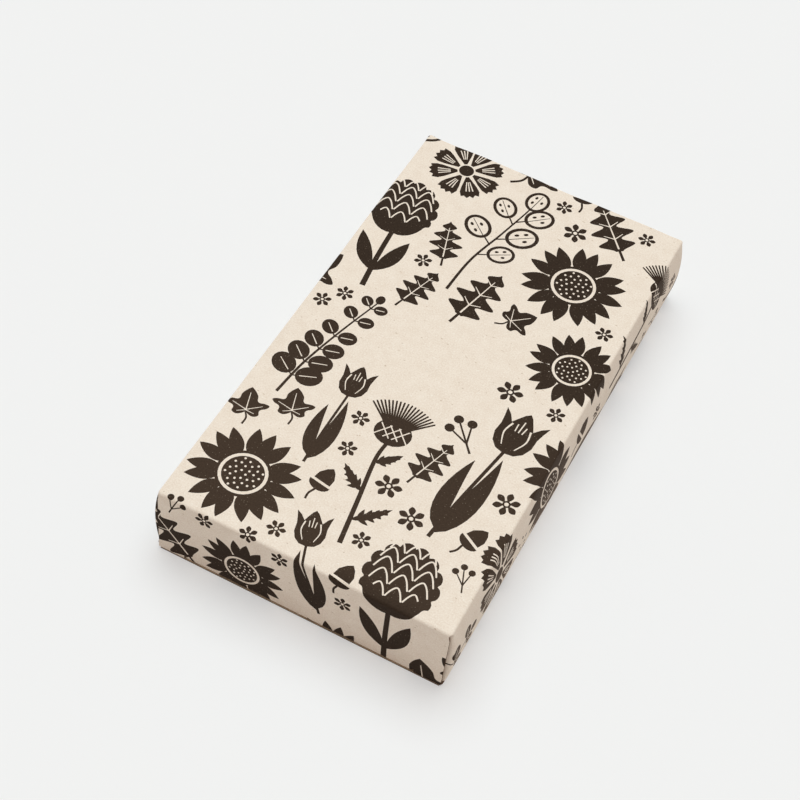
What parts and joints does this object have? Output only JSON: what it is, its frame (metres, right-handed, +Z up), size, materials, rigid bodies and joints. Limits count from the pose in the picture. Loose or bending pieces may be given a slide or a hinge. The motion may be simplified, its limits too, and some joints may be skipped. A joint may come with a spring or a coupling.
{
  "type": "flower press in its carton",
  "caption": "Hand flower press packed in a tuck-end paperboard carton; end flaps open on their folds and wing nuts slacken the pressing board.",
  "frame": {"origin": "middle of the carton's underside, on the surface it lies on", "axes": "+X across the carton to the right, +Y along it to the far end, +Z up out of its printed top"},
  "size_m": [0.124, 0.222, 0.035],
  "materials": {
    "paperboard": "uncoated recycled paperboard, printed in one dark colour, matt",
    "plywood": "sanded birch plywood, unvarnished",
    "zinc_steel": "bright zinc-plated steel",
    "corrugated": "plain brown corrugated board, matt",
    "blotting_paper": "soft unsized blotting paper, matt"
  },
  "bodies": {
    "carton": {"carton_top_panel": "paperboard", "carton_bottom_panel": "paperboard", "carton_left_wall": "paperboard", "carton_right_wall": "paperboard", "carton_glue_tab": "paperboard", "base_board": "plywood", "bolt_near_left": "zinc_steel", "bolt_near_right": "zinc_steel", "bolt_far_left": "zinc_steel", "bolt_far_right": "zinc_steel", "corrugated_card_1": "corrugated", "corrugated_card_2": "corrugated", "corrugated_card_3": "corrugated", "corrugated_card_4": "corrugated", "blotting_sheet_1": "blotting_paper", "blotting_sheet_2": "blotting_paper", "blotting_sheet_3": "blotting_paper", "blotting_sheet_4": "blotting_paper", "blotting_sheet_5": "blotting_paper", "blotting_sheet_6": "blotting_paper"},
    "pressing_board": {"top_board": "plywood", "washer_near_left": "zinc_steel", "washer_near_right": "zinc_steel", "washer_far_left": "zinc_steel", "washer_far_right": "zinc_steel"},
    "near_end_flap": {"near_end_flap": "paperboard"},
    "far_end_flap": {"far_end_flap": "paperboard"},
    "near_tuck_tongue": {"near_tuck_tongue": "paperboard"},
    "near_left_dust_flap": {"near_left_dust_flap": "paperboard"},
    "near_right_dust_flap": {"near_right_dust_flap": "paperboard"},
    "far_tuck_tongue": {"far_tuck_tongue": "paperboard"},
    "far_left_dust_flap": {"far_left_dust_flap": "paperboard"},
    "far_right_dust_flap": {"far_right_dust_flap": "paperboard"},
    "wing_nut_near_left": {"wing_nut_near_left": "zinc_steel"},
    "wing_nut_near_right": {"wing_nut_near_right": "zinc_steel"},
    "wing_nut_far_left": {"wing_nut_far_left": "zinc_steel"},
    "wing_nut_far_right": {"wing_nut_far_right": "zinc_steel"}
  },
  "joints": [
    {"name": "near_end_flap_fold", "type": "hinge", "parent": "carton", "child": "near_end_flap", "pos_m": [0, -0.111, 0.035], "axis": [-1, 0, 0], "range_deg": [0, 170]},
    {"name": "far_end_flap_fold", "type": "hinge", "parent": "carton", "child": "far_end_flap", "pos_m": [0, 0.111, 0.035], "axis": [1, 0, 0], "range_deg": [0, 170]},
    {"name": "near_tongue_fold", "type": "hinge", "parent": "near_end_flap", "child": "near_tuck_tongue", "pos_m": [0, -0.111, 0.00057], "axis": [-1, 0, 0], "range_deg": [0, 34]},
    {"name": "near_left_dust_flap_fold", "type": "hinge", "parent": "carton", "child": "near_left_dust_flap", "pos_m": [-0.06, -0.1102, 0.0175], "axis": [0, 0, -1], "range_deg": [0, 85]},
    {"name": "near_right_dust_flap_fold", "type": "hinge", "parent": "carton", "child": "near_right_dust_flap", "pos_m": [0.06, -0.1102, 0.0175], "axis": [0, 0, 1], "range_deg": [0, 85]},
    {"name": "far_tongue_fold", "type": "hinge", "parent": "far_end_flap", "child": "far_tuck_tongue", "pos_m": [0, 0.111, 0.00057], "axis": [1, 0, 0], "range_deg": [0, 34]},
    {"name": "far_left_dust_flap_fold", "type": "hinge", "parent": "carton", "child": "far_left_dust_flap", "pos_m": [-0.06, 0.1102, 0.0175], "axis": [0, 0, 1], "range_deg": [0, 85]},
    {"name": "far_right_dust_flap_fold", "type": "hinge", "parent": "carton", "child": "far_right_dust_flap", "pos_m": [0.06, 0.1102, 0.0175], "axis": [0, 0, -1], "range_deg": [0, 85]},
    {"name": "top_board_lift", "type": "slide", "parent": "carton", "child": "pressing_board", "axis": [0, 0, 1], "range_m": [0, 0.0016]},
    {"name": "wing_nut_near_left_turn", "type": "hinge", "parent": "pressing_board", "child": "wing_nut_near_left", "pos_m": [-0.045, -0.093, 0.0215], "axis": [0, 0, 1], "range_deg": [0, 720]},
    {"name": "wing_nut_near_right_turn", "type": "hinge", "parent": "pressing_board", "child": "wing_nut_near_right", "pos_m": [0.045, -0.093, 0.0215], "axis": [0, 0, 1], "range_deg": [0, 720]},
    {"name": "wing_nut_far_left_turn", "type": "hinge", "parent": "pressing_board", "child": "wing_nut_far_left", "pos_m": [-0.045, 0.093, 0.0215], "axis": [0, 0, 1], "range_deg": [0, 720]},
    {"name": "wing_nut_far_right_turn", "type": "hinge", "parent": "pressing_board", "child": "wing_nut_far_right", "pos_m": [0.045, 0.093, 0.0215], "axis": [0, 0, 1], "range_deg": [0, 720]}
  ],
  "couplings": [
    {"joint": "near_tongue_fold", "follows": "near_end_flap_fold", "ratio": 0.2},
    {"joint": "near_left_dust_flap_fold", "follows": "near_end_flap_fold", "ratio": 0.5},
    {"joint": "near_right_dust_flap_fold", "follows": "near_end_flap_fold", "ratio": 0.5},
    {"joint": "far_tongue_fold", "follows": "far_end_flap_fold", "ratio": 0.2},
    {"joint": "far_left_dust_flap_fold", "follows": "far_end_flap_fold", "ratio": 0.5},
    {"joint": "far_right_dust_flap_fold", "follows": "far_end_flap_fold", "ratio": 0.5},
    {"joint": "wing_nut_near_left_turn", "follows": "top_board_lift", "rad_per_m": 7854},
    {"joint": "wing_nut_near_right_turn", "follows": "top_board_lift", "rad_per_m": 7854},
    {"joint": "wing_nut_far_left_turn", "follows": "top_board_lift", "rad_per_m": 7854},
    {"joint": "wing_nut_far_right_turn", "follows": "top_board_lift", "rad_per_m": 7854}
  ]
}
